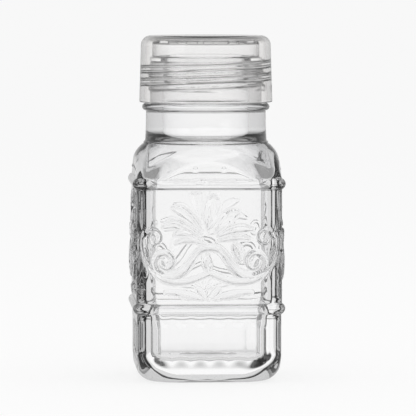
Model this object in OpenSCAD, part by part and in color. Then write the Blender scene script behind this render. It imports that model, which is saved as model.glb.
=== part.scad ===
// Square pressed-glass spice shaker with a sifter insert and a clear screw cap.
// Z is up and the jar's axis is the Z axis. The foot stands on Z = 0.

/* [Jar body] */
// Width of the glass body across its flat faces
body_w = 44.2; // [42:0.2:46]
// Plan radius of the body's upright corners
corner_r = 3.5; // [3:0.1:4.5]
// Width across the flat faces of the fluted band below the lower rib
band_w = 43.8; // [41:0.2:44]
// Height at which the shoulder cone leaves the body's upright corners
shoulder_corner_z = 62.6; // [62.2:0.1:64]
// Height of the step where the shoulder meets the neck
shoulder_top_z = 72.4; // [71:0.1:74]

/* [Ribs] */
// Height of the middle of the lower rib
lower_rib_z = 22.5; // [21:0.1:24]
// Height of the middle of the upper rib
upper_rib_z = 60.4; // [59:0.1:60.8]
// How tall a rib is where it leaves the face
rib_h = 3.3; // [2.6:0.1:3.4]
// How far a rib stands out of the face
rib_proud = 1.1; // [0.8:0.1:1.3]

/* [Foot and flutes] */
// Radius of the rounded heel under each face
heel_r = 5; // [4:0.1:6]
// Number of flutes on each face
flute_count = 6; // [4:1:7]
// Distance between neighbouring flutes
flute_pitch = 5.8; // [4.8:0.1:5.8]
// Depth of a flute
flute_depth = 0.4; // [0.2:0.05:0.6]
// Height of the flutes' upper ends
flute_top_z = 18.7; // [16:0.1:19]
// Radius of the shallow dish under the base
dish_r = 9; // [7:0.1:12]
// Depth of the dish under the base
dish_depth = 1.1; // [0.6:0.1:1.6]

/* [Hollow of the jar] */
// Width of the hollow across its flat walls
hollow_w = 38; // [36:0.2:38.4]
// Width of the hollow inside the fluted band
hollow_band_w = 35.2; // [33:0.2:36]
// Height of the glass floor
floor_z = 6.4; // [6:0.1:7.5]
// Diameter of the mouth
mouth_d = 26.4; // [25:0.1:27]

/* [Neck] */
// Height of the lip
lip_z = 97.1; // [96:0.1:98]
// Diameter of the finish that carries the thread
finish_d = 34.2; // [33.8:0.1:34.6]
// Diameter of the neck under the transfer bead
neck_d = 36.7; // [36:0.1:37.2]
// Diameter over the transfer bead
bead_d = 39.1; // [38.4:0.1:39.6]
// Height of the middle of the transfer bead
bead_z = 83.2; // [82.8:0.1:83.2]
// How tall the transfer bead is
bead_h = 2.2; // [1.8:0.1:2.2]

/* [Shaker insert] */
// Number of holes in the crown
hole_count = 10; // [6:1:12]
// Diameter of a hole
hole_d = 3; // [2:0.1:3.4]
// Diameter of the circle that the holes lie on
hole_circle_d = 25.4; // [23:0.1:25.8]
// Diameter of the raised crown
crown_d = 32.8; // [32:0.1:33]
// Height of the crown above the flange
crown_rise = 5.3; // [4.6:0.1:5.3]
// Thickness of the flange that lies on the lip
flange_t = 1.2; // [0.9:0.1:1.3]
// Thickness of the insert's other walls
insert_wall = 1; // [0.8:0.1:1.2]
// How far the plug reaches down into the mouth
plug_depth = 6.5; // [4:0.5:9]
// Gap around the plug
plug_gap = 0.06; // [0.03:0.01:0.09]

/* [Screw cap] */
// Height of the cap
cap_h = 20.4; // [20.1:0.1:20.5]
// Diameter of the cap at its rim
cap_rim_d = 40.8; // [40.6:0.1:41.4]
// Diameter of the cap where its side meets the rounded edge
cap_top_d = 39.8; // [39.6:0.1:40.4]
// Radius of the rounded edge round the top
cap_edge_r = 3; // [2:0.1:3.5]
// Thickness of the cap's side
cap_wall = 1.55; // [1.4:0.05:1.6]
// Thickness of the cap's top
cap_top_t = 1.1; // [0.9:0.1:1.2]
// Gap between the closed cap's rim and the transfer bead
rim_gap = 0.3; // [0.2:0.05:0.5]

/* [Hidden] */
$fn = 96;
arc_steps = 7;          // straight steps in each arc of a profile
past = 1;               // how far a cutting shape runs past what it cuts

body_half = body_w / 2;
band_half = band_w / 2;
// reach of the body's upright corners from the axis
corner_reach = (body_half - corner_r) * sqrt(2) + corner_r;

// the foot's corners are cut by a bowl that is turned about the axis
foot_half = band_half - heel_r;
foot_corner_r = 6;
foot_reach = (foot_half - foot_corner_r) * sqrt(2) + foot_corner_r;
bowl_top_z = 7.6;

// the shoulder's cone, and the small ring that it ends in at the neck
neck_r = neck_d / 2;
neck_flare = 0.25;
cone_top_r = neck_r + 1.6;
cone_top_z = shoulder_top_z - 0.9;
cone_slope = (cone_top_z - shoulder_corner_z) / (corner_reach - cone_top_r);
ring_r = neck_r + neck_flare + 0.5;

finish_r = finish_d / 2;
bead_r = bead_d / 2;
lip_round = 0.6;

// the hollow keeps about the same glass inside the shoulder as inside the faces
mouth_r = mouth_d / 2;
hollow_half = hollow_w / 2;
hollow_band_half = hollow_band_w / 2;
hollow_corner_r = 3.4;
hollow_reach = (hollow_half - hollow_corner_r) * sqrt(2) + hollow_corner_r;
hollow_cone_z = 59.5;
hollow_neck_z = 71.5;
hollow_cone_top_r = mouth_r + 2.2;
hollow_cone_top_z = hollow_neck_z - 2.6;
hollow_slope = (hollow_cone_top_z - hollow_cone_z) / (hollow_reach - hollow_cone_top_r);
floor_round = 3;
band_hollow_top_z = 21;
band_hollow_taper = 3;

flange_r = finish_r;
flange_z = lip_z + flange_t;
crown_r = crown_d / 2;
crown_z = flange_z + crown_rise;
crown_round = 1.2;
plug_r = mouth_r - plug_gap;
plug_lead = 0.6;

rim_z = bead_z + bead_h / 2 + rim_gap;
cap_top_z = rim_z + cap_h;
rim_r = cap_rim_d / 2;
cap_edge_z = cap_top_z - cap_edge_r;
cap_side_r = cap_top_d / 2;
inner_edge_r = cap_edge_r - cap_top_t;

// points of an arc round (x, y), from angle a to angle b
function arc(x, y, r, a, b) =
    [for (i = [0 : arc_steps]) let (t = a + (b - a) * i / arc_steps) [x + r * cos(t), y + r * sin(t)]];

// a square of the given half width with round corners, as squares and circles
module round_square(half, r) {
    square([2 * half, 2 * (half - r)], center = true);
    square([2 * (half - r), 2 * half], center = true);
    for (x = [-1, 1], y = [-1, 1])
        translate([x * (half - r), y * (half - r)]) circle(r);
}

module round_prism(half, r, z0, z1) {
    translate([0, 0, z0]) linear_extrude(z1 - z0) round_square(half, r);
}

// everything that is turned about the axis: the foot's bowl, the shoulder and the neck
module turned_outline() {
    rotate_extrude()
        polygon(concat(
            [[0, 0], [foot_reach, 0]],
            [[foot_reach + 3.6, bowl_top_z * 0.22], [foot_reach + 6.6, bowl_top_z * 0.56]],
            [[corner_reach + past, bowl_top_z + past]],
            [[corner_reach + past, shoulder_corner_z - past * cone_slope], [cone_top_r, cone_top_z]],
            [[ring_r, shoulder_top_z - 0.3], [ring_r, shoulder_top_z + 0.3]],
            [[neck_r + neck_flare, shoulder_top_z + 0.7], [neck_r, bead_z - bead_h / 2 - 0.4]],
            arc(bead_r - bead_h / 2, bead_z, bead_h / 2, -90, 90),
            [[finish_r, bead_z + bead_h / 2]],
            arc(finish_r - lip_round, lip_z - lip_round, lip_round, 0, 90),
            [[0, lip_z]]));
}

// rounds the two lower edges of a wide plate, so that two of them crossed give the heel
module heel_plate() {
    rotate([90, 0, 0])
        linear_extrude(2 * body_w, center = true)
            polygon(concat(
                arc(foot_half, heel_r, heel_r, -90, 0),
                [[band_half, lower_rib_z], [body_half + past, lower_rib_z]],
                [[body_half + past, lip_z + past], [-body_half - past, lip_z + past]],
                [[-body_half - past, lower_rib_z], [-band_half, lower_rib_z]],
                arc(-foot_half, heel_r, heel_r, 180, 270)));
}

module plain_body() {
    intersection() {
        turned_outline();
        union() {
            round_prism(band_half, corner_r, 0, lower_rib_z);
            round_prism(body_half, corner_r, lower_rib_z, lip_z + past);
        }
        heel_plate();
        rotate(90) heel_plate();
    }
}

// a rib's section is part of a circle, pushed into the glass so that only rib_proud shows
rib_circle_r = (pow(rib_h / 2, 2) + pow(rib_proud, 2)) / (2 * rib_proud);
rib_set_in = rib_circle_r - rib_proud;

module rib_section(offset_r) {
    intersection() {
        translate([offset_r - rib_set_in, 0]) circle(rib_circle_r);
        translate([offset_r - rib_set_in, -rib_circle_r]) square([rib_circle_r, 2 * rib_circle_r]);
    }
}

module rib_ring(z) {
    translate([0, 0, z])
        for (turn = [0 : 90 : 270])
            rotate(turn) {
                translate([0, body_half - corner_r, 0])
                    rotate([90, 0, 0])
                        linear_extrude(2 * (body_half - corner_r)) rib_section(body_half);
                translate([body_half - corner_r, body_half - corner_r, 0])
                    rotate_extrude(angle = 90) rib_section(corner_r);
            }
}

// a flute is the side of an upright cylinder that stands in front of the face
flute_r = (pow(flute_pitch * 0.44, 2) + pow(flute_depth, 2)) / (2 * flute_depth);

module flutes() {
    for (turn = [0 : 90 : 270])
        rotate(turn)
            for (i = [0 : flute_count - 1])
                translate([band_half + flute_r - flute_depth, (i - (flute_count - 1) / 2) * flute_pitch, -past])
                    cylinder(h = flute_top_z + past, r = flute_r);
}

module hollow() {
    intersection() {
        rotate_extrude()
            polygon([
                [0, 0], [hollow_reach + past, 0],
                [hollow_reach + past, hollow_cone_z - past * hollow_slope],
                [hollow_cone_top_r, hollow_cone_top_z], [mouth_r, hollow_neck_z],
                [mouth_r, lip_z + past], [0, lip_z + past]]);
        union() {
            round_prism(hollow_half, hollow_corner_r, band_hollow_top_z, lip_z + past);
            round_prism(hollow_band_half, hollow_corner_r, floor_z, band_hollow_top_z);
        }
        hollow_plate();
        rotate(90) hollow_plate();
    }
}

// the hollow's section: a round edge at the floor and a slope behind the lower rib
module hollow_plate() {
    rotate([90, 0, 0])
        linear_extrude(2 * body_w, center = true)
            polygon(concat(
                arc(hollow_band_half - floor_round, floor_z + floor_round, floor_round, -90, 0),
                [[hollow_band_half, band_hollow_top_z],
                 [hollow_half, band_hollow_top_z + band_hollow_taper],
                 [hollow_half, lip_z + past], [-hollow_half, lip_z + past],
                 [-hollow_half, band_hollow_top_z + band_hollow_taper],
                 [-hollow_band_half, band_hollow_top_z]],
                arc(-hollow_band_half + floor_round, floor_z + floor_round, floor_round, 180, 270)));
}

// a shallow dish under the base, cut by a large ball
dish_ball_r = (pow(dish_r, 2) + pow(dish_depth, 2)) / (2 * dish_depth);

module base_dish() {
    translate([0, 0, dish_depth - dish_ball_r]) sphere(dish_ball_r);
}

module glass_jar() {
    color([0.90, 0.93, 0.93, 0.45])
        difference() {
            union() {
                plain_body();
                rib_ring(lower_rib_z);
                rib_ring(upper_rib_z);
            }
            flutes();
            hollow();
            base_dish();
        }
}

// the top hat: plug down in the mouth, flange on the lip, crown above it
module insert_body() {
    rotate_extrude()
        polygon(concat(
            [[plug_r - insert_wall, lip_z - plug_depth], [plug_r - 0.3, lip_z - plug_depth]],
            [[plug_r, lip_z - plug_depth + plug_lead], [plug_r, lip_z]],
            [[flange_r - 0.2, lip_z], [flange_r, lip_z + 0.2], [flange_r, flange_z - 0.2]],
            [[flange_r - 0.2, flange_z], [crown_r, flange_z]],
            arc(crown_r - crown_round, crown_z - crown_round, crown_round, 0, 90),
            [[0, crown_z], [0, crown_z - insert_wall]],
            [[crown_r - insert_wall - 0.4, crown_z - insert_wall]],
            [[crown_r - insert_wall, crown_z - insert_wall - 0.4], [crown_r - insert_wall, flange_z]],
            [[plug_r - insert_wall, flange_z]]));
}

module shaker_insert() {
    color([0.93, 0.93, 0.92, 0.6])
        difference() {
            insert_body();
            for (i = [0 : hole_count - 1])
                rotate((i + 0.5) * 360 / hole_count)
                    translate([hole_circle_d / 2, 0, crown_z - insert_wall - past])
                        cylinder(h = insert_wall + 2 * past, d = hole_d);
        }
}

module screw_cap() {
    color([0.80, 0.79, 0.78, 0.5])
        rotate_extrude()
            polygon(concat(
                [[rim_r - cap_wall, rim_z], [rim_r - 0.3, rim_z], [rim_r, rim_z + 0.3]],
                arc(cap_side_r - cap_edge_r, cap_edge_z, cap_edge_r, 0, 90),
                [[0, cap_top_z], [0, cap_top_z - cap_top_t]],
                arc(cap_side_r - cap_wall - inner_edge_r, cap_edge_z, inner_edge_r, 90, 0)));
}

glass_jar();
shaker_insert();
screw_cap();
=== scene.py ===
"""A square pressed-glass spice shaker: ribbed glass jar with relief scrolls, sifter insert, clear screw cap."""
import math

import bpy
import numpy as np
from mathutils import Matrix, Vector


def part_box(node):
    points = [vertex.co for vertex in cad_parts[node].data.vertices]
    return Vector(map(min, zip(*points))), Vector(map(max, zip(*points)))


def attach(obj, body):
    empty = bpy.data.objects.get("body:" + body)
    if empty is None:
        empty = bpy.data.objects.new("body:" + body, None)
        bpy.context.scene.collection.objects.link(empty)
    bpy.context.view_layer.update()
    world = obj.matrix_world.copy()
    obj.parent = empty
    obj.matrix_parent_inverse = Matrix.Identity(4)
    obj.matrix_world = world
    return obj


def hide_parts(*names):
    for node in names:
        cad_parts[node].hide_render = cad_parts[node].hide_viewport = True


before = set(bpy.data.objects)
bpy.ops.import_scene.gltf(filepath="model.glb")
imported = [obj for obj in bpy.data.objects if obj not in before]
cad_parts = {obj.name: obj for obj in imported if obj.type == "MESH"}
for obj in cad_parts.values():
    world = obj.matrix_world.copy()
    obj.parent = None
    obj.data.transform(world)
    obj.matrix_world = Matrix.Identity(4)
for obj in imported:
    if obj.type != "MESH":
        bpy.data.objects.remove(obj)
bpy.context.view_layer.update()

# Every shape below is worked out in millimetres and turned into metres when its mesh is made.
MM = 0.001


def node_box(node):
    """A CAD node's lowest and highest corners in millimetres."""
    low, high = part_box(node)
    return np.array(low) / MM, np.array(high) / MM


JAR_LOW, JAR_HIGH = node_box("glass_jar")
INSERT_LOW, INSERT_HIGH = node_box("shaker_insert")
CAP_LOW, CAP_HIGH = node_box("screw_cap")

# Jar body
RIB_PROUD = 1.1
RIB_H = 3.3
BODY_HALF = JAR_HIGH[0] - RIB_PROUD
BAND_HALF = BODY_HALF - 0.2
CORNER_R = 3.5
LIP_Z = JAR_HIGH[2]
LOWER_RIB_Z = 22.5
UPPER_RIB_Z = 60.4

# Foot and flutes
HEEL_R = 5.0
FOOT_HALF = BAND_HALF - HEEL_R
FOOT_CORNER_R = 6.0
DISH_R = 9.0
DISH_DEPTH = 1.1
FLUTE_COUNT = 6
FLUTE_PITCH = 5.8
FLUTE_DEPTH = 0.4
FLUTE_TOP_Z = 18.7
FLUTE_REACH = 0.46
FOOT_REACH = (FOOT_HALF - FOOT_CORNER_R) * math.sqrt(2) + FOOT_CORNER_R
BOWL_TOP_Z = 9.0
BOWL_H = 8.6
BOWL_WIDENING = 9.6
BOWL_POWER = 0.72
BOWL_CLEARANCE = 1.2
BOWL_SOFTNESS = 2.0

# Radius of the small ring round each pole of a mesh
NEARLY_ZERO = 0.01

# Shoulder and neck
CORNER_REACH = (BODY_HALF - CORNER_R) * math.sqrt(2) + CORNER_R
SHOULDER_CORNER_Z = 62.6
SHOULDER_TOP_Z = 72.4
CONE_TOP_R = 19.95
CONE_TOP_Z = 71.5
NECK_R = 18.35
NECK_FLARE = 0.25
BEAD_R = 19.55
BEAD_HALF_H = 1.1
BEAD_Z = 83.2
FINISH_R = 17.1
LIP_ROUND = 0.6

# Hollow of the jar
MOUTH_R = 13.2
HOLLOW_HALF = 19.0
HOLLOW_BAND_HALF = 17.6
HOLLOW_CORNER_R = 3.4
FLOOR_Z = 6.4
FLOOR_ROUND = 3.0

# Screw thread, right-handed, the same pitch on glass and cap
THREAD_PITCH = 3.85
THREAD_FADE_DEG = 28.0
GLASS_THREAD = {"start": 60, "z": 87.5, "turns": 2.0, "half_h": 1.0, "proud": 0.55}
CAP_THREAD = {"start": -10, "z": 88.7, "turns": 2.15, "half_h": 1.2, "proud": 0.95}


# Mesh helpers

def make_grid(name, rows):
    """A closed mesh from rings of points in millimetres; the first and the last ring shrink to one point each."""
    rows = np.array(rows)
    ring_count, column_count = rows.shape[:2]
    inner = rows[1:-1].reshape(-1, 3)
    verts = np.vstack([rows[0].mean(0), inner, rows[-1].mean(0)]) * MM
    step = np.arange(column_count)
    after = (step + 1) % column_count
    ring_start = 1 + np.arange(ring_count - 3)[:, None] * column_count
    first = ring_start + step
    ahead = ring_start + after
    quads = np.stack([first, ahead, ahead + column_count, first + column_count], axis=-1).reshape(-1, 4)
    top = len(verts) - 1
    last_ring = 1 + (ring_count - 3) * column_count
    faces = quads.tolist()
    faces += [(0, 1 + b, 1 + a) for a, b in zip(step.tolist(), after.tolist())]
    faces += [(top, last_ring + a, last_ring + b) for a, b in zip(step.tolist(), after.tolist())]
    mesh = bpy.data.meshes.new(name)
    mesh.from_pydata(verts.tolist(), [], faces)
    mesh.validate()
    piece = bpy.data.objects.new(name, mesh)
    bpy.context.scene.collection.objects.link(piece)
    mesh.shade_smooth()
    return piece


def arc(x, y, r, start, end, steps):
    """Points of an arc round (x, y), from start to end in degrees, both ends included."""
    turn = np.radians(np.linspace(start, end, steps + 1))
    return list(zip(x + r * np.cos(turn), y + r * np.sin(turn)))


def smooth_step(x):
    """0 below 0, 1 above 1 and a soft rise between them."""
    x = np.clip(x, 0, 1)
    return x * x * (3 - 2 * x)


def soft_min(a, b, softness):
    """The smaller of two radii, with the corner between them rounded off."""
    if softness <= 0:
        return np.minimum(a, b)
    blend = np.clip(1 - np.abs(a - b) / softness, 0, None)
    return np.minimum(a, b) - softness / 4 * blend ** 2


def thread_ridge(turn_deg, z, thread):
    """How far a helical ridge stands out at each angle in degrees and height."""
    out = np.zeros(np.broadcast(turn_deg, z).shape)
    span = 360 * thread["turns"]
    for lap in range(-1, 4):
        along = turn_deg + 360 * lap - thread["start"]
        centre = thread["z"] + THREAD_PITCH * along / 360
        ends = smooth_step(along / THREAD_FADE_DEG) * smooth_step((span - along) / THREAD_FADE_DEG)
        off = np.abs(z - centre) / thread["half_h"]
        ridge = thread["proud"] * ends * (1 - smooth_step((off - 0.3) / 0.7))
        out = np.maximum(out, ridge)
    return out


# Relief on the glass faces: scrolls, leaves and buds, in face coordinates (u to the right, z up)

def smooth_path(points, steps=14):
    """A Catmull-Rom curve through the points, which may hold a width as third number."""
    points = np.array(points, float)
    padded = np.vstack([2 * points[0] - points[1], points, 2 * points[-1] - points[-2]])
    out = []
    for a, b, c, d in zip(padded[:-3], padded[1:-2], padded[2:-1], padded[3:]):
        for t in np.linspace(0, 1, steps, endpoint=False):
            out.append(0.5 * (2 * b + (c - a) * t + (2 * a - 5 * b + 4 * c - d) * t ** 2
                              + (3 * b - a - 3 * c + d) * t ** 3))
    out.append(points[-1])
    return np.array(out)


def stroke(u, z, points, height, vein=0.0, fullness=1.5):
    """A raised band or leaf along a path of (u, z, half width), with an optional groove along its middle."""
    path = smooth_path(points)
    best = np.full(u.shape, 9.0)
    for (u0, z0, w0), (u1, z1, w1) in zip(path[:-1], path[1:]):
        length2 = (u1 - u0) ** 2 + (z1 - z0) ** 2 + 1e-9
        t = np.clip(((u - u0) * (u1 - u0) + (z - z0) * (z1 - z0)) / length2, 0, 1)
        off = np.hypot(u - u0 - t * (u1 - u0), z - z0 - t * (z1 - z0))
        best = np.minimum(best, off / np.maximum(w0 + t * (w1 - w0), 0.05))
    swell = np.clip(1 - best ** 2, 0, None) ** fullness
    groove = 1 - vein * np.exp(-(best / 0.3) ** 2)
    return height * swell * groove


def mirrored(points):
    return [(-u, z, w) for u, z, w in points]


# (u, z, half width) along each band, in millimetres
ARCH = [(0.3, 41.3, 1.0), (2.8, 40.7, 1.0), (4.6, 38.9, 1.0), (6.2, 36.6, 1.1), (8.0, 34.3, 1.25),
        (10.5, 32.8, 1.3), (13.2, 32.6, 1.2), (15.9, 34.0, 1.1), (16.9, 36.7, 1.0), (15.7, 39.1, 0.95),
        (13.5, 39.7, 0.9), (11.8, 38.5, 0.85), (11.5, 36.7, 0.8), (12.6, 35.3, 0.8), (14.1, 35.5, 0.8),
        (14.9, 36.8, 0.9)]
SWEEP = [(0.3, 33.5, 0.8), (3.1, 32.3, 0.85), (6.8, 31.1, 0.9), (11.0, 31.0, 0.95), (14.8, 32.3, 1.0),
         (17.6, 35.0, 1.0), (19.4, 38.6, 0.95), (20.2, 42.6, 0.8), (19.8, 46.0, 0.5)]
SMALL_VOLUTE = [(19.2, 44.6, 0.7), (18.2, 46.3, 0.75), (16.4, 46.4, 0.75), (15.2, 45.0, 0.75),
                (15.5, 43.3, 0.7), (16.9, 42.9, 0.7), (17.5, 44.1, 0.8)]
INNER_LEAF = [(9.4, 37.3, 0.4), (8.9, 39.2, 1.5), (8.2, 41.0, 1.6), (7.6, 42.3, 0.5)]
TALL_CUT_LEAF = [(-2.2, 49.0, 0.4), (-3.0, 52.0, 1.1), (-3.6, 55.0, 1.7), (-4.0, 57.6, 2.3)]
PINE_BUD = [(-0.6, 46.8, 0.3), (0.0, 49.0, 1.4), (0.6, 52.0, 2.4), (1.0, 54.6, 2.4), (1.1, 56.4, 1.2)]
LEFT_LEAVES = [
    [(-2.6, 46.6, 0.5), (-5.6, 50.0, 1.3), (-8.6, 52.4, 1.7), (-11.2, 53.2, 0.6)],
    [(-3.0, 45.2, 0.5), (-7.0, 47.2, 1.2), (-10.8, 48.6, 1.6), (-13.8, 47.6, 0.6)],
    [(-2.4, 43.6, 0.4), (-5.6, 45.2, 0.9), (-8.6, 46.0, 1.1), (-10.6, 45.2, 0.5)],
    [(-1.8, 42.6, 0.4), (-5.0, 43.6, 0.8), (-8.0, 43.6, 0.9), (-10.4, 42.6, 0.4)],
]
RIGHT_LEAVES = [
    [(2.0, 46.0, 0.5), (4.2, 49.0, 1.6), (6.4, 51.2, 1.9), (8.6, 52.0, 0.7)],
    [(2.8, 45.0, 0.5), (6.4, 46.6, 1.2), (9.8, 47.2, 1.4), (12.8, 46.8, 0.5)],
    [(2.6, 43.4, 0.4), (6.0, 44.2, 0.9), (9.2, 44.6, 1.0), (11.8, 44.0, 0.4)],
]
ARCH_BUD = [(-0.8, 39.2, 0.4), (-0.8, 37.4, 1.2), (-0.6, 35.6, 1.3), (-0.5, 34.2, 0.4)]
FAN_DROPS = [
    [(-0.4, 25.8, 0.4), (-0.6, 27.4, 0.8), (-0.4, 29.2, 0.7)],
    [(-1.2, 26.0, 0.4), (-2.6, 27.6, 1.0), (-3.6, 28.8, 0.6)],
    [(0.4, 26.0, 0.4), (1.8, 27.6, 1.0), (2.8, 28.8, 0.6)],
    [(-2.2, 25.8, 0.4), (-6.4, 26.8, 1.1), (-10.2, 27.6, 0.8), (-13.4, 27.8, 0.3)],
    [(1.6, 25.8, 0.4), (6.0, 26.8, 1.1), (9.8, 27.6, 0.8), (12.8, 27.8, 0.3)],
]
SHOULDER_DOTS = [(-12.4, 64.6), (-4.3, 65.0), (4.3, 65.0), (12.4, 64.6)]


def relief(u, z):
    """Height of the ornament on a face, as a soft sum of its strokes."""
    parts = []
    for band, height in ((ARCH, 0.95), (SWEEP, 0.8), (SMALL_VOLUTE, 0.7)):
        parts += [stroke(u, z, band, height), stroke(u, z, mirrored(band), height)]
    parts.append(stroke(u, z, INNER_LEAF, 0.8, vein=0.3))
    parts.append(stroke(u, z, TALL_CUT_LEAF, 0.9, vein=0.35) * smooth_step((58.0 - z) / 0.5))
    parts.append(stroke(u, z, PINE_BUD, 1.0))
    for leaf in LEFT_LEAVES + RIGHT_LEAVES:
        parts.append(stroke(u, z, leaf, 0.9, vein=0.3))
    parts.append(stroke(u, z, ARCH_BUD, 0.8))
    for drop in FAN_DROPS:
        parts.append(stroke(u, z, drop, 0.65))
    total = sum(part ** 5 for part in parts) ** 0.2
    return np.minimum(total, 1.02)


def shoulder_dots(u, z):
    bumps = [0.18 * np.exp(-((u - du) ** 2 + (z - dz) ** 2) / 0.22) for du, dz in SHOULDER_DOTS]
    return np.max(bumps, axis=0)


# Jar mesh: one closed skin, ring by ring from the middle of the base, up outside and down inside

FACE_STEPS = 100
CORNER_STEPS = 10


def plan_columns():
    """For each column round the jar: its place on the square, its outward normal and its face coordinate."""
    centre, normal, along, past_edge = [], [], [], []
    for side in range(4):
        face_turn = math.radians(-90 + 90 * side)
        out = np.array([math.cos(face_turn), math.sin(face_turn)])
        right = np.array([-out[1], out[0]])
        for s in np.linspace(-1, 1, FACE_STEPS, endpoint=False):
            centre.append(out + s * right)
            normal.append(out)
            along.append(s)
            past_edge.append(0.0)
        for step in range(CORNER_STEPS):
            bend = math.pi / 2 * step / CORNER_STEPS
            centre.append(out + right)
            normal.append(math.cos(bend) * out + math.sin(bend) * right)
            second_half = bend > math.pi / 4
            along.append(-1.0 if second_half else 1.0)
            past_edge.append(bend - math.pi / 2 if second_half else bend)
    return np.array(centre), np.array(normal), np.array(along), np.array(past_edge)


CENTRE, NORMAL, ALONG, PAST_EDGE = plan_columns()
_plan = CENTRE * (BODY_HALF - CORNER_R) + NORMAL * CORNER_R
COLUMN_DEG = np.degrees(np.arctan2(_plan[:, 1], _plan[:, 0]))
FACE_U = ALONG * (BODY_HALF - CORNER_R) + PAST_EDGE * CORNER_R


def ring(z, half, corner, turned=None, push=0.0, softness=0.0):
    """One ring of the jar: a square with round corners, pushed out, and cut to a circle where turned is given."""
    plan = CENTRE * (half - corner) + NORMAL * corner + NORMAL * np.reshape(push, (-1, 1))
    if turned is not None:
        reach = np.linalg.norm(plan, axis=1)
        plan = plan * (soft_min(reach, turned, softness) / reach)[:, None]
    return np.column_stack([plan, np.full(len(plan), z)])


def circle_ring(r, z):
    return ring(z, BODY_HALF, CORNER_R, turned=r)


def rib_push(z, middle):
    """How far a rib stands out at height z; its section is part of a circle."""
    section_r = ((RIB_H / 2) ** 2 + RIB_PROUD ** 2) / (2 * RIB_PROUD)
    across = max(section_r ** 2 - (z - middle) ** 2, 0)
    return max(math.sqrt(across) - (section_r - RIB_PROUD), 0)


def flute_cut():
    """How deep the flutes cut into each column of the band."""
    place = FACE_U / FLUTE_PITCH + (FLUTE_COUNT - 1) / 2
    nearest = np.clip(np.round(place), 0, FLUTE_COUNT - 1)
    off = (place - nearest) / FLUTE_REACH
    return FLUTE_DEPTH * np.clip(1 - off ** 2, 0, None)


def bowl_radius(z):
    """Radius of the bowl that trims the corners of the foot at height z."""
    if z > BOWL_TOP_Z:
        return CORNER_REACH + BOWL_CLEARANCE
    return FOOT_REACH + BOWL_WIDENING * (z / BOWL_H) ** BOWL_POWER


def underside_rings():
    rows = [circle_ring(NEARLY_ZERO, DISH_DEPTH)]
    for r in np.linspace(0.9, DISH_R, 10):
        rows.append(circle_ring(r, DISH_DEPTH * (1 - (r / DISH_R) ** 2)))
    rows.append(circle_ring(DISH_R + 0.6, 0))
    rows.append(ring(0, FOOT_HALF - 3.5, FOOT_CORNER_R - 2))
    return rows


def heel_rings():
    rows = []
    for half, z in arc(FOOT_HALF, HEEL_R, HEEL_R, -90, 0, 18):
        corner = FOOT_CORNER_R + (CORNER_R - FOOT_CORNER_R) * z / HEEL_R
        rows.append(ring(z, half, corner, turned=bowl_radius(z), softness=BOWL_SOFTNESS))
    return rows


def band_rings():
    rows = []
    for z in np.linspace(HEEL_R + 0.6, FLUTE_TOP_Z, 24):
        run_out = smooth_step((FLUTE_TOP_Z + 0.4 - z) / 3.0) * smooth_step((z - HEEL_R) / 4.0)
        push = -flute_cut() * run_out
        rows.append(ring(z, BAND_HALF, CORNER_R, turned=bowl_radius(z), push=push, softness=BOWL_SOFTNESS))
    return rows


def rib_rings(middle, below_half, above_half):
    rows = []
    for z in np.linspace(middle - RIB_H / 2, middle + RIB_H / 2, 17):
        share = smooth_step((z - middle) / RIB_H + 0.5)
        half = below_half + (above_half - below_half) * share
        rows.append(ring(z, half, CORNER_R, push=rib_push(z, middle)))
    return rows


def panel_rings():
    rows = []
    low = LOWER_RIB_Z + RIB_H / 2
    high = UPPER_RIB_Z - RIB_H / 2
    for z in np.linspace(low, high, 100)[1:-1]:
        rows.append(ring(z, BODY_HALF, CORNER_R, push=relief(FACE_U, np.full(len(FACE_U), z))))
    return rows


def shoulder_rings():
    rows = []
    low = UPPER_RIB_Z + RIB_H / 2
    slope = (CONE_TOP_R - CORNER_REACH) / (CONE_TOP_Z - SHOULDER_CORNER_Z)
    for z in np.linspace(low, CONE_TOP_Z, 36)[1:]:
        cone = CORNER_REACH + (z - SHOULDER_CORNER_Z) * slope
        bulge = 0.5 * math.sin(math.pi * (z - low) / (CONE_TOP_Z - low))
        dots = shoulder_dots(FACE_U, np.full(len(FACE_U), z))
        rows.append(ring(z, BODY_HALF, CORNER_R, turned=cone + bulge, push=dots, softness=3.0))
    return rows


def neck_profile():
    """(r, z) up the neck from the shoulder's ring to the step above the transfer bead."""
    ring_r = NECK_R + NECK_FLARE + 0.5
    points = [(ring_r + 0.35, SHOULDER_TOP_Z - 0.55), (ring_r, SHOULDER_TOP_Z - 0.3)]
    points += arc(ring_r - 0.25, SHOULDER_TOP_Z, 0.3, -60, 70, 6)
    points += [(NECK_R + NECK_FLARE + 0.08, SHOULDER_TOP_Z + 0.5), (NECK_R + NECK_FLARE, SHOULDER_TOP_Z + 0.9)]
    for share in np.linspace(0.1, 1, 12):
        z = SHOULDER_TOP_Z + 0.9 + share * (BEAD_Z - BEAD_HALF_H - 0.5 - SHOULDER_TOP_Z - 0.9)
        points.append((NECK_R + NECK_FLARE * (1 - share) ** 2, z))
    points += [(NECK_R + 0.03, BEAD_Z - BEAD_HALF_H - 0.2), (NECK_R + 0.12, BEAD_Z - BEAD_HALF_H - 0.05)]
    points += arc(BEAD_R - BEAD_HALF_H, BEAD_Z, BEAD_HALF_H, -80, 84, 14)
    points += [(FINISH_R + 0.9, BEAD_Z + BEAD_HALF_H), (FINISH_R + 0.35, BEAD_Z + BEAD_HALF_H + 0.02),
               (FINISH_R + 0.1, BEAD_Z + BEAD_HALF_H + 0.12), (FINISH_R, BEAD_Z + BEAD_HALF_H + 0.35)]
    return points


def finish_rings():
    rows = []
    low = BEAD_Z + BEAD_HALF_H + 0.5
    high = LIP_Z - LIP_ROUND
    for z in np.linspace(low, high, 56):
        rows.append(circle_ring(FINISH_R + thread_ridge(COLUMN_DEG, z, GLASS_THREAD), z))
    for r, z in arc(FINISH_R - LIP_ROUND, high, LIP_ROUND, 8, 90, 7):
        rows.append(circle_ring(r, z))
    return rows


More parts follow.
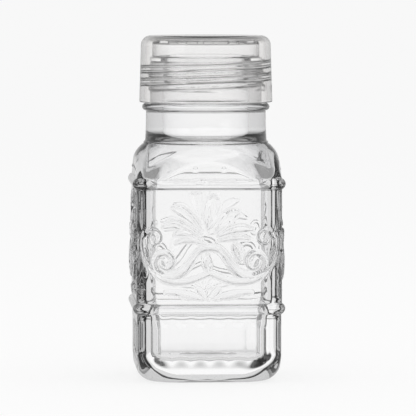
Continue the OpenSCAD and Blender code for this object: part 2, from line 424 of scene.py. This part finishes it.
def mouth_rings():
    rows = [circle_ring(r, LIP_Z) for r in (15.6, 14.6, MOUTH_R + 0.5)]
    rows += [circle_ring(r, z) for r, z in arc(MOUTH_R + 0.3, LIP_Z - 0.3, 0.3, 90, 180, 5)]
    rows += [circle_ring(MOUTH_R, z) for z in np.linspace(LIP_Z - 1, 77.0, 20)]
    return rows


# Radius of the turned part of the hollow at each height, from the mouth's lower end down to the corners
INNER_SHOULDER = [(76.5, 13.2), (75.2, 13.35), (74.2, 13.8), (73.0, 14.9), (71.5, 16.4), (70.0, 17.9), (68.5, 19.2),
                  (67.0, 20.5), (65.0, 22.2), (62.0, 24.6), (59.0, 27.0)]


def hollow_rings():
    """From the mouth's lower end, over the inner shoulder, down the hollow and in over the floor."""
    rows = []
    heights = np.array([z for z, r in INNER_SHOULDER][::-1])
    radii = np.array([r for z, r in INNER_SHOULDER][::-1])
    for z in np.linspace(76.3, 59.5, 60):
        fine = np.linspace(z - 1.2, z + 1.2, 13)
        weight = 1 - ((fine - z) / 1.4) ** 2
        turned = float((np.interp(fine, heights, radii) * weight).sum() / weight.sum())
        rows.append(ring(z, HOLLOW_HALF, HOLLOW_CORNER_R, turned=turned, softness=2.4))
    for z in np.linspace(58.8, FLOOR_Z + FLOOR_ROUND, 44):
        share = smooth_step((z - 20.5) / 4.5)
        half = HOLLOW_BAND_HALF + (HOLLOW_HALF - HOLLOW_BAND_HALF) * share
        rows.append(ring(z, half, HOLLOW_CORNER_R))
    for half, z in arc(HOLLOW_BAND_HALF - FLOOR_ROUND, FLOOR_Z + FLOOR_ROUND, FLOOR_ROUND, -6, -90, 10):
        rows.append(ring(z, half, max(HOLLOW_CORNER_R * half / HOLLOW_BAND_HALF, 1.5)))
    for r in (13.0, 11.5, 10.0, 9.0, 8.4, 8.0, 7.4, 6.6, 5.4, 4.0, 2.4, 1.0, NEARLY_ZERO):
        dome = 0.45 * smooth_step((8.2 - r) / 6)
        rows.append(ring(FLOOR_Z + dome, HOLLOW_BAND_HALF - FLOOR_ROUND, 2.4, turned=r))
    return rows


def build_jar():
    rows = underside_rings() + heel_rings() + band_rings()
    rows += rib_rings(LOWER_RIB_Z, BAND_HALF, BODY_HALF) + panel_rings()
    rows += rib_rings(UPPER_RIB_Z, BODY_HALF, BODY_HALF) + shoulder_rings()
    rows += [circle_ring(r, z) for r, z in neck_profile()]
    rows += finish_rings() + mouth_rings() + hollow_rings()
    return make_grid("glass_jar_moulding", rows)


# Turned plastic pieces

TURN_STEPS = 288
TURN_DEG = np.arange(TURN_STEPS) * 360 / TURN_STEPS


def turned_ring(r, z):
    r = np.broadcast_to(r, (TURN_STEPS,))
    turn = np.radians(TURN_DEG)
    return np.column_stack([r * np.cos(turn), r * np.sin(turn), np.full(TURN_STEPS, z)])


CAP_TOP_Z = CAP_HIGH[2]
CAP_RIM_Z = CAP_LOW[2]
CAP_RIM_R = CAP_HIGH[0]
CAP_TOP_R = CAP_RIM_R - 0.5
CAP_EDGE_R = 3.0
CAP_TOP_T = 1.1
CAP_WALL = 1.55


def cap_side_r(z):
    """Outer radius of the cap's slightly tapered side."""
    share = (z - CAP_RIM_Z) / (CAP_TOP_Z - CAP_EDGE_R - CAP_RIM_Z)
    return CAP_RIM_R + (CAP_TOP_R - CAP_RIM_R) * share


def build_cap():
    edge_z = CAP_TOP_Z - CAP_EDGE_R
    rows = [turned_ring(NEARLY_ZERO, CAP_TOP_Z)]
    rows += [turned_ring(r, CAP_TOP_Z) for r in (2, 5, 8, 11, 14, 16)]
    rows += [turned_ring(r, z) for r, z in arc(CAP_TOP_R - CAP_EDGE_R, edge_z, CAP_EDGE_R, 90, 0, 14)]
    rows += [turned_ring(cap_side_r(z), z) for z in np.linspace(edge_z - 1, CAP_RIM_Z + 0.5, 18)]
    rows += [turned_ring(r, z) for r, z in arc(CAP_RIM_R - 0.35, CAP_RIM_Z + 0.35, 0.35, -10, -90, 5)]
    rows += [turned_ring(r, z) for r, z in arc(CAP_RIM_R - CAP_WALL + 0.35, CAP_RIM_Z + 0.35, 0.35, -90, -170, 5)]
    inner_edge_r = CAP_EDGE_R - CAP_TOP_T
    for z in np.linspace(CAP_RIM_Z + 0.5, edge_z - 0.3, 76):
        r = cap_side_r(z) - CAP_WALL - thread_ridge(TURN_DEG, z, CAP_THREAD)
        rows.append(turned_ring(r, z))
    rows += [turned_ring(r, z) for r, z in
             arc(CAP_TOP_R - CAP_WALL - inner_edge_r, edge_z, inner_edge_r, 0, 90, 10)]
    rows += [turned_ring(r, CAP_TOP_Z - CAP_TOP_T) for r in (15, 12, 9, 6, 3, NEARLY_ZERO)]
    return make_grid("screw_cap_moulding", rows[::-1])


# Shaker insert
FLANGE_T = 1.2
FLANGE_Z = LIP_Z + FLANGE_T
CROWN_Z = INSERT_HIGH[2]
CROWN_R = 16.4
CROWN_ROUND = 1.2
INSERT_WALL = 1.0
PLUG_R = 13.14
PLUG_Z = INSERT_LOW[2]
HOLE_COUNT = 10
HOLE_R = 1.5
HOLE_SIDES = 40
HOLE_CIRCLE_R = 12.7


def insert_profile():
    """(r, z) of the insert's outside from the top's middle down to the plug's end, then up its inside."""
    outside = [(NEARLY_ZERO, CROWN_Z), (3, CROWN_Z), (7, CROWN_Z), (10, CROWN_Z), (14.8, CROWN_Z)]
    outside += arc(CROWN_R - CROWN_ROUND, CROWN_Z - CROWN_ROUND, CROWN_ROUND, 90, 0, 9)
    outside += [(CROWN_R, CROWN_Z - 2.5), (CROWN_R, FLANGE_Z + 0.3), (CROWN_R + 0.08, FLANGE_Z + 0.08)]
    outside += arc(FINISH_R - 0.25, FLANGE_Z - 0.25, 0.25, 80, -80, 6)[:1]
    outside += arc(FINISH_R - 0.2, FLANGE_Z - 0.2, 0.2, 60, 0, 3)
    outside += arc(FINISH_R - 0.2, LIP_Z + 0.22, 0.2, 0, -90, 4)
    outside += [(15, LIP_Z + 0.02), (PLUG_R + 0.1, LIP_Z + 0.02), (PLUG_R, LIP_Z - 0.1)]
    outside += [(PLUG_R, LIP_Z - 2), (PLUG_R, PLUG_Z + 0.7), (PLUG_R - 0.3, PLUG_Z + 0.05), (PLUG_R - 0.5, PLUG_Z)]
    inside_r = PLUG_R - INSERT_WALL
    inside = [(inside_r + 0.2, PLUG_Z), (inside_r, PLUG_Z + 0.25), (inside_r, LIP_Z - 2), (inside_r, FLANGE_Z - 0.2)]
    inside += [(inside_r + 0.15, FLANGE_Z), (CROWN_R - INSERT_WALL - 0.3, FLANGE_Z)]
    inside += [(CROWN_R - INSERT_WALL, FLANGE_Z + 0.3), (CROWN_R - INSERT_WALL, CROWN_Z - 2.2)]
    inside += arc(CROWN_R - INSERT_WALL - 0.5, CROWN_Z - INSERT_WALL - 0.5, 0.5, 0, 90, 5)
    inside += [(14.5, CROWN_Z - INSERT_WALL), (10, CROWN_Z - INSERT_WALL), (6, CROWN_Z - INSERT_WALL),
               (NEARLY_ZERO, CROWN_Z - INSERT_WALL)]
    return outside + inside


def hole_cutter():
    """Ten upright drills in a ring, joined in one mesh."""
    sides = HOLE_SIDES
    turn = np.radians(np.arange(sides) * 360 / sides)
    verts, faces = [], []
    for i in range(HOLE_COUNT):
        middle = math.radians((i + 0.5) * 360 / HOLE_COUNT)
        cx = HOLE_CIRCLE_R * math.cos(middle)
        cy = HOLE_CIRCLE_R * math.sin(middle)
        first = len(verts)
        for z in (CROWN_Z - INSERT_WALL - 1, CROWN_Z + 1):
            verts += [((cx + HOLE_R * math.cos(t)) * MM, (cy + HOLE_R * math.sin(t)) * MM, z * MM) for t in turn]
        faces.append([first + k for k in range(sides)][::-1])
        faces.append([first + sides + k for k in range(sides)])
        faces += [[first + k, first + (k + 1) % sides, first + sides + (k + 1) % sides, first + sides + k]
                  for k in range(sides)]
    mesh = bpy.data.meshes.new("hole_cutter")
    mesh.from_pydata(verts, [], faces)
    cutter = bpy.data.objects.new("hole_cutter", mesh)
    bpy.context.scene.collection.objects.link(cutter)
    return cutter


def build_insert():
    insert = make_grid("shaker_insert_moulding", [turned_ring(r, z) for r, z in insert_profile()][::-1])
    cutter = hole_cutter()
    cut = insert.modifiers.new("holes", "BOOLEAN")
    cut.operation = "DIFFERENCE"
    cut.solver = "EXACT"
    cut.object = cutter
    depsgraph = bpy.context.evaluated_depsgraph_get()
    drilled = bpy.data.meshes.new_from_object(insert.evaluated_get(depsgraph))
    insert.modifiers.clear()
    insert.data = drilled
    bpy.data.objects.remove(cutter)
    drilled.shade_smooth()
    drilled.set_sharp_from_angle(angle=math.radians(40))
    return insert


# Materials

# Painted shade by how steeply the surface is seen: the base colour darkens towards edge-on, standing in for the
# darker surroundings that steep faces bend into view; 0 is square on, 1 is edge on. The cap's faint warm tone is its
# own colour
GLASS_PAINTED_EDGE_SHADE = [(0.0, (0.995, 0.995, 0.995)), (0.3, (0.95, 0.95, 0.955)), (1.0, (0.65, 0.65, 0.66))]
INSERT_PAINTED_EDGE_SHADE = [(0.0, (0.995, 0.995, 0.995)), (0.5, (0.97, 0.97, 0.97)), (1.0, (0.85, 0.85, 0.85))]
CAP_TONE_AND_PAINTED_EDGE_SHADE = [(0.0, (0.995, 0.992, 0.99)), (0.3, (0.975, 0.97, 0.966)), (1.0, (0.75, 0.735, 0.725))]


def new_material(name):
    material = bpy.data.materials.new(name)
    material.use_nodes = True
    material.node_tree.nodes.clear()
    return material, material.node_tree.nodes, material.node_tree.links


def glass_shader(name, ior, tone_and_painted_edge_shade, wave_scale, wave_height, roughness):
    """Clear material whose base colour is darkened by the angle it is seen at, as painted shade, with fine waves in
    its surface.
    """
    material, nodes, links = new_material(name)
    out = nodes.new("ShaderNodeOutputMaterial")
    shader = nodes.new("ShaderNodeBsdfPrincipled")
    shader.inputs["IOR"].default_value = ior
    shader.inputs["Transmission Weight"].default_value = 1.0
    weight = nodes.new("ShaderNodeLayerWeight")
    weight.inputs["Blend"].default_value = 0.5
    ramp = nodes.new("ShaderNodeValToRGB")
    stops = ramp.color_ramp.elements
    while len(stops) < len(tone_and_painted_edge_shade):
        stops.new(0.5)
    for stop, (place_on_ramp, shaded_colour) in zip(stops, tone_and_painted_edge_shade):
        stop.position = place_on_ramp
        stop.color = (*shaded_colour, 1)
    # Painted shade: the facing ramp darkens the base colour as the surface turns edge-on
    links.new(weight.outputs["Facing"], ramp.inputs["Fac"])
    links.new(ramp.outputs["Color"], shader.inputs["Base Color"])
    place = nodes.new("ShaderNodeTexCoord")
    waves = nodes.new("ShaderNodeTexNoise")
    waves.inputs["Scale"].default_value = wave_scale
    waves.inputs["Detail"].default_value = 2.0
    links.new(place.outputs["Object"], waves.inputs["Vector"])
    bump = nodes.new("ShaderNodeBump")
    bump.inputs["Strength"].default_value = 1.0
    bump.inputs["Distance"].default_value = wave_height
    links.new(waves.outputs["Fac"], bump.inputs["Height"])
    links.new(bump.outputs["Normal"], shader.inputs["Normal"])
    haze = nodes.new("ShaderNodeMapRange")
    haze.inputs["To Min"].default_value = roughness[0]
    haze.inputs["To Max"].default_value = roughness[1]
    links.new(waves.outputs["Fac"], haze.inputs["Value"])
    links.new(haze.outputs["Result"], shader.inputs["Roughness"])
    clear = nodes.new("ShaderNodeBsdfTransparent")
    clear.inputs["Color"].default_value = (0.9, 0.9, 0.9, 1)
    path = nodes.new("ShaderNodeLightPath")
    mix = nodes.new("ShaderNodeMixShader")
    links.new(path.outputs["Is Shadow Ray"], mix.inputs["Fac"])
    links.new(shader.outputs["BSDF"], mix.inputs[1])
    links.new(clear.outputs["BSDF"], mix.inputs[2])
    links.new(mix.outputs["Shader"], out.inputs["Surface"])
    return material


# Studio

def bent_or_mirrored(nodes, links, path):
    """1 for a ray that glass has bent or mirrored."""
    either = nodes.new("ShaderNodeMath")
    either.operation = "MAXIMUM"
    links.new(path.outputs["Is Glossy Ray"], either.inputs[0])
    links.new(path.outputs["Is Transmission Ray"], either.inputs[1])
    return either


def seen_through_glass(nodes, links, path):
    """1 for rays from the camera and for those that glass bends or mirrors, 0 for the light that falls on things."""
    any_ray = nodes.new("ShaderNodeMath")
    any_ray.operation = "MAXIMUM"
    links.new(path.outputs["Is Camera Ray"], any_ray.inputs[0])
    links.new(bent_or_mirrored(nodes, links, path).outputs["Value"], any_ray.inputs[1])
    return any_ray


# Share of the studio's light that is left each time a ray is mirrored inside the glass
SHARE_PER_MIRRORING = 0.75


def mirror_dimming(nodes, links, path):
    """1 for a ray that was never mirrored, and less each time it was."""
    dimming = nodes.new("ShaderNodeMath")
    dimming.operation = "POWER"
    dimming.inputs[0].default_value = SHARE_PER_MIRRORING
    links.new(path.outputs["Glossy Depth"], dimming.inputs[1])
    return dimming


FLOOR_SIZE = 60.0
FLOOR_COLOUR = 0.94
FLOOR_WHITENING = 0.75


def build_floor():
    """A white floor that keeps the jar's shadow; seen by the camera or through the glass it is nearly white."""
    mesh = bpy.data.meshes.new("floor")
    edge = FLOOR_SIZE
    mesh.from_pydata([(-edge, -edge, 0), (edge, -edge, 0), (edge, edge, 0), (-edge, edge, 0)], [], [(0, 1, 2, 3)])
    floor = bpy.data.objects.new("floor", mesh)
    bpy.context.scene.collection.objects.link(floor)
    material, nodes, links = new_material("white_floor")
    out = nodes.new("ShaderNodeOutputMaterial")
    shader = nodes.new("ShaderNodeBsdfPrincipled")
    shader.inputs["Base Color"].default_value = (FLOOR_COLOUR, FLOOR_COLOUR, FLOOR_COLOUR, 1)
    shader.inputs["Roughness"].default_value = 0.9
    shader.inputs["Specular IOR Level"].default_value = 0.0
    white = nodes.new("ShaderNodeEmission")
    white.inputs["Strength"].default_value = 1.0
    path = nodes.new("ShaderNodeLightPath")
    seen = seen_through_glass(nodes, links, path)
    share = nodes.new("ShaderNodeMath")
    share.operation = "MULTIPLY"
    share.inputs[1].default_value = FLOOR_WHITENING
    links.new(seen.outputs["Value"], share.inputs[0])
    mix = nodes.new("ShaderNodeMixShader")
    links.new(share.outputs["Value"], mix.inputs["Fac"])
    links.new(shader.outputs["BSDF"], mix.inputs[1])
    links.new(white.outputs["Emission"], mix.inputs[2])
    dark = nodes.new("ShaderNodeEmission")
    dark.inputs["Strength"].default_value = 0.0
    dimmed = nodes.new("ShaderNodeMixShader")
    links.new(mirror_dimming(nodes, links, path).outputs["Value"], dimmed.inputs["Fac"])
    links.new(dark.outputs["Emission"], dimmed.inputs[1])
    links.new(mix.outputs["Shader"], dimmed.inputs[2])
    links.new(dimmed.outputs["Shader"], out.inputs["Surface"])
    floor.data.materials.append(material)
    return floor


# Studio brightness by the sine of the height angle: white round the horizon, darker overhead
STUDIO_STOPS = [(0.0, 1.0), (0.12, 1.0), (0.5, 0.45), (1.0, 0.3)]
WORLD_LIGHT = 0.8


def build_world():
    """White for the camera, plain even light for surfaces, and a studio with a darker ceiling for the glass."""
    world = bpy.data.worlds.new("studio")
    bpy.context.scene.world = world
    world.use_nodes = True
    nodes, links = world.node_tree.nodes, world.node_tree.links
    nodes.clear()
    out = nodes.new("ShaderNodeOutputWorld")
    path = nodes.new("ShaderNodeLightPath")

    lit = nodes.new("ShaderNodeBackground")
    lit.inputs["Color"].default_value = (1, 1, 1, 1)
    lit.inputs["Strength"].default_value = WORLD_LIGHT

    seen = nodes.new("ShaderNodeBackground")
    seen.inputs["Color"].default_value = (1, 1, 1, 1)
    seen.inputs["Strength"].default_value = 1.0

    place = nodes.new("ShaderNodeTexCoord")
    split = nodes.new("ShaderNodeSeparateXYZ")
    links.new(place.outputs["Generated"], split.inputs["Vector"])
    ramp = nodes.new("ShaderNodeValToRGB")
    stops = ramp.color_ramp.elements
    while len(stops) < len(STUDIO_STOPS):
        stops.new(0.5)
    for stop, (height, grey) in zip(stops, STUDIO_STOPS):
        stop.position = height
        stop.color = (grey, grey, grey, 1)
    links.new(split.outputs["Z"], ramp.inputs["Fac"])

    bounced = mirror_dimming(nodes, links, path)
    dim = nodes.new("ShaderNodeMix")
    dim.data_type = "RGBA"
    dim.blend_type = "MULTIPLY"
    dim.inputs["Factor"].default_value = 1.0
    links.new(ramp.outputs["Color"], dim.inputs["A"])
    links.new(bounced.outputs["Value"], dim.inputs["B"])
    through = nodes.new("ShaderNodeBackground")
    links.new(dim.outputs["Result"], through.inputs["Color"])

    mix_through = nodes.new("ShaderNodeMixShader")
    links.new(bent_or_mirrored(nodes, links, path).outputs["Value"], mix_through.inputs["Fac"])
    links.new(lit.outputs["Background"], mix_through.inputs[1])
    links.new(through.outputs["Background"], mix_through.inputs[2])
    mix_seen = nodes.new("ShaderNodeMixShader")
    links.new(path.outputs["Is Camera Ray"], mix_seen.inputs["Fac"])
    links.new(mix_through.outputs["Shader"], mix_seen.inputs[1])
    links.new(seen.outputs["Background"], mix_seen.inputs[2])
    links.new(mix_seen.outputs["Shader"], out.inputs["Surface"])


LIGHTS_AIM_Z = 0.05


def facing(direction):
    """Euler angles that point an object's -Z axis along a direction, with its +Y axis upwards."""
    return Vector(direction).to_track_quat("-Z", "Y").to_euler()


def add_area_light(name, place, size, power):
    data = bpy.data.lights.new(name, "AREA")
    data.size = size
    data.energy = power
    light = bpy.data.objects.new(name, data)
    light.location = place
    aim = np.array([0, 0, LIGHTS_AIM_Z]) - np.array(place)
    light.rotation_euler = facing(aim)
    bpy.context.scene.collection.objects.link(light)
    return light


# Camera: a long lens a little above the jar; the jar's front is turned slightly to the right
IMAGE_PX = 416
MM_PER_PX = 0.307
FOCAL_PX = 4080
SENSOR_MM = 36.0
VIEW_DOWN = 0.059
JAR_TURN = math.radians(3.2)
AXIS_PX = 205.8
FOOT_PX = 377.4


def build_camera():
    distance = FOCAL_PX * MM_PER_PX
    middle = IMAGE_PX / 2
    side = np.array([math.cos(JAR_TURN), -math.sin(JAR_TURN), 0])
    back = np.array([-math.sin(JAR_TURN), -math.cos(JAR_TURN), 0])
    target = side * (middle - AXIS_PX) * MM_PER_PX + np.array([0, 0, (FOOT_PX - middle) * MM_PER_PX])
    place = target + distance * (math.cos(VIEW_DOWN) * back + math.sin(VIEW_DOWN) * np.array([0, 0, 1]))
    data = bpy.data.cameras.new("camera")
    data.sensor_width = SENSOR_MM
    data.lens = SENSOR_MM * FOCAL_PX / IMAGE_PX
    data.clip_start = 0.05
    data.clip_end = 50
    camera = bpy.data.objects.new("camera", data)
    camera.location = place * MM
    camera.rotation_euler = facing(target - place)
    bpy.context.scene.collection.objects.link(camera)
    bpy.context.scene.camera = camera


def main():
    build_camera()
    build_floor()
    build_world()
    add_area_light("top_light", (0.15, -0.2, 0.9), 0.8, 1.4)
    add_area_light("left_light", (-0.8, -0.5, 0.4), 0.6, 0.8)

    glass = glass_shader("pressed_glass", 1.52, GLASS_PAINTED_EDGE_SHADE, 90, 0.00006, (0.0, 0.02))
    insert_plastic = glass_shader("insert_plastic", 1.14, INSERT_PAINTED_EDGE_SHADE, 120, 0.00001, (0.02, 0.05))
    cap_plastic = glass_shader("cap_plastic", 1.45, CAP_TONE_AND_PAINTED_EDGE_SHADE, 90, 0.00001, (0.03, 0.07))

    jar = build_jar()
    jar.data.materials.append(glass)
    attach(jar, "jar")
    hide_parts("glass_jar")

    insert = build_insert()
    insert.data.materials.append(insert_plastic)
    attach(insert, "insert")
    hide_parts("shaker_insert")

    cap = build_cap()
    cap.data.materials.append(cap_plastic)
    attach(cap, "cap")
    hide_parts("screw_cap")

    bpy.context.scene.view_settings.view_transform = "Standard"


main()
